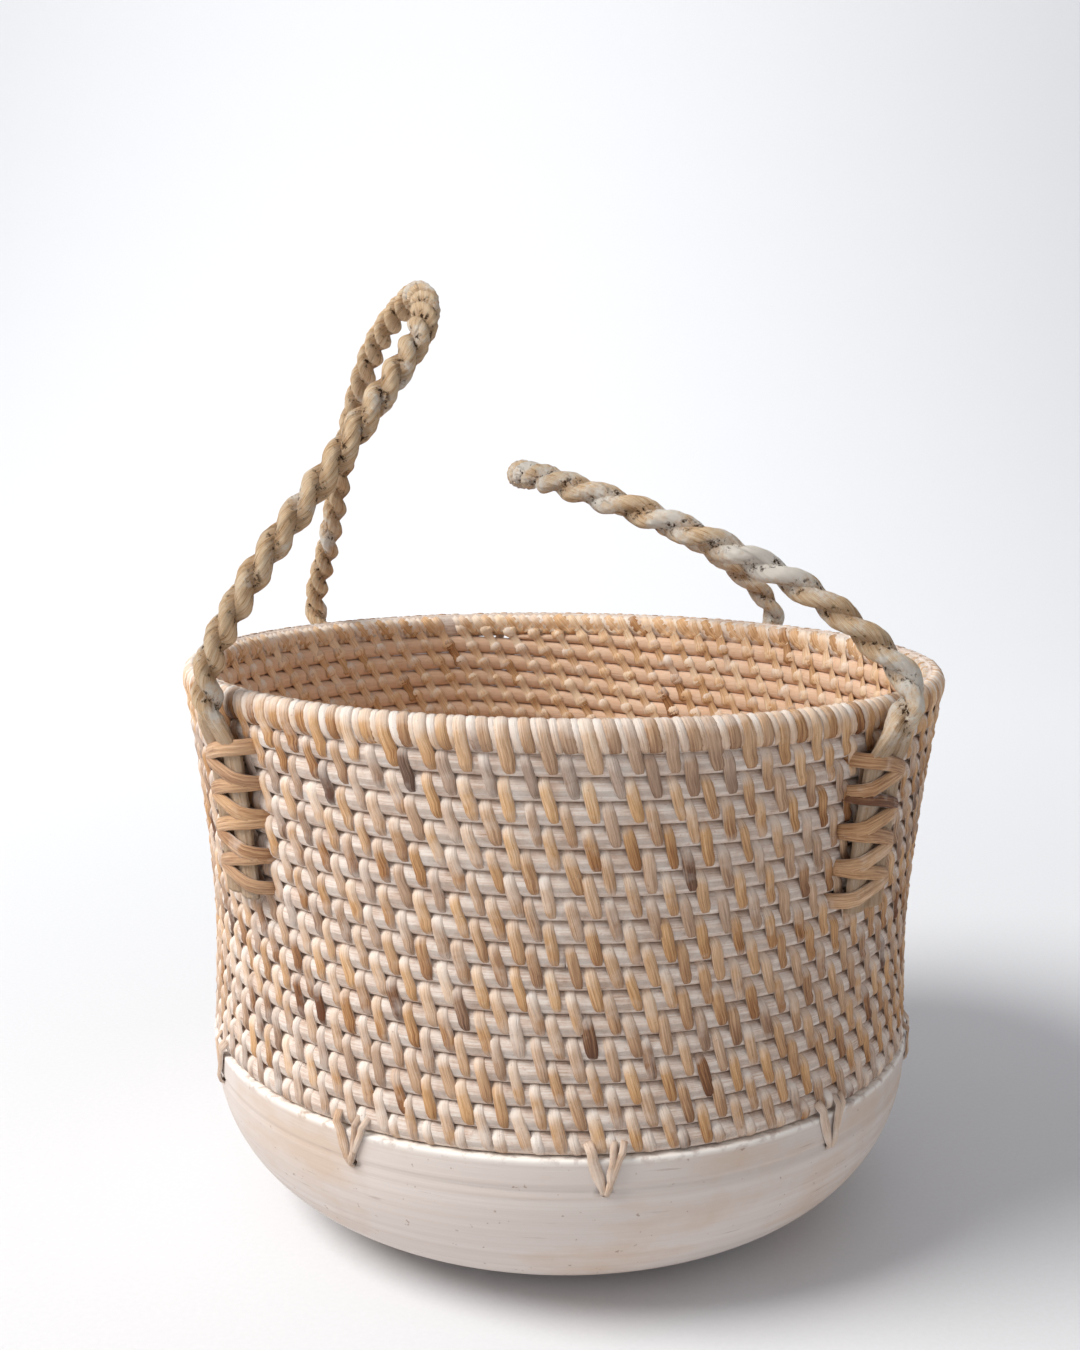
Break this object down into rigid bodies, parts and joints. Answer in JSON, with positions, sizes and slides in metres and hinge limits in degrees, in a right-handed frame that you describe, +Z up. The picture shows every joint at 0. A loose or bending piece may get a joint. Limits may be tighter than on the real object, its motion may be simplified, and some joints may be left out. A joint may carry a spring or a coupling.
{
  "type": "coiled rattan basket with rope handles",
  "caption": "Round coiled rattan storage basket on a turned wooden bowl base, with two stiff twisted rope handles lashed to the outside of its wall.",
  "frame": {"origin": "centre of the flat foot under the bowl, on the floor", "axes": "+Z up along the basket's axis, -Y towards the front, +X to the right as seen from the front; the rope handles are at -X and +X"},
  "size_m": [0.3778, 0.3778, 0.4522],
  "materials": {
    "whitewashed_wood": "matt whitewash over pale turned wood",
    "whitewashed_rattan": "matt whitewash rubbed off rattan rod and its sewn cane",
    "cane": "satin split cane with traces of whitewash",
    "rope": "matt fibrous strands with patches of whitewash"
  },
  "bodies": {
    "basket": {"bowl_base": "whitewashed_wood", "coil_rod_1": "whitewashed_rattan", "coil_rod_2": "whitewashed_rattan", "coil_rod_3": "whitewashed_rattan", "coil_rod_4": "whitewashed_rattan", "coil_rod_5": "whitewashed_rattan", "coil_rod_6": "whitewashed_rattan", "rim_rod": "whitewashed_rattan", "rim_wrap": "cane", "rope_end_left_front": "rope", "rope_end_left_back": "rope", "rope_end_right_front": "rope", "rope_end_right_back": "rope", "lashing_left_front": "cane", "lashing_left_back": "cane", "lashing_right_front": "cane", "lashing_right_back": "cane", "bowl_tie_01": "cane", "bowl_tie_02": "cane", "bowl_tie_03": "cane", "bowl_tie_04": "cane", "bowl_tie_05": "cane", "bowl_tie_06": "cane", "bowl_tie_07": "cane", "bowl_tie_08": "cane", "bowl_tie_09": "cane", "bowl_tie_10": "cane"},
    "left_handle": {"handle_left": "rope"},
    "right_handle": {"handle_right": "rope"}
  },
  "joints": [
    {"name": "left_handle_swing", "type": "hinge", "parent": "basket", "child": "left_handle", "pos_m": [-0.14774, 0.00568, 0.2622], "axis": [0.0384, 0.9993, 0], "range_deg": [-90, 15]},
    {"name": "right_handle_swing", "type": "hinge", "parent": "basket", "child": "right_handle", "pos_m": [0.13288, 0.0058, 0.2622], "axis": [0.0436, -0.999, 0], "range_deg": [-75, 8]}
  ]
}
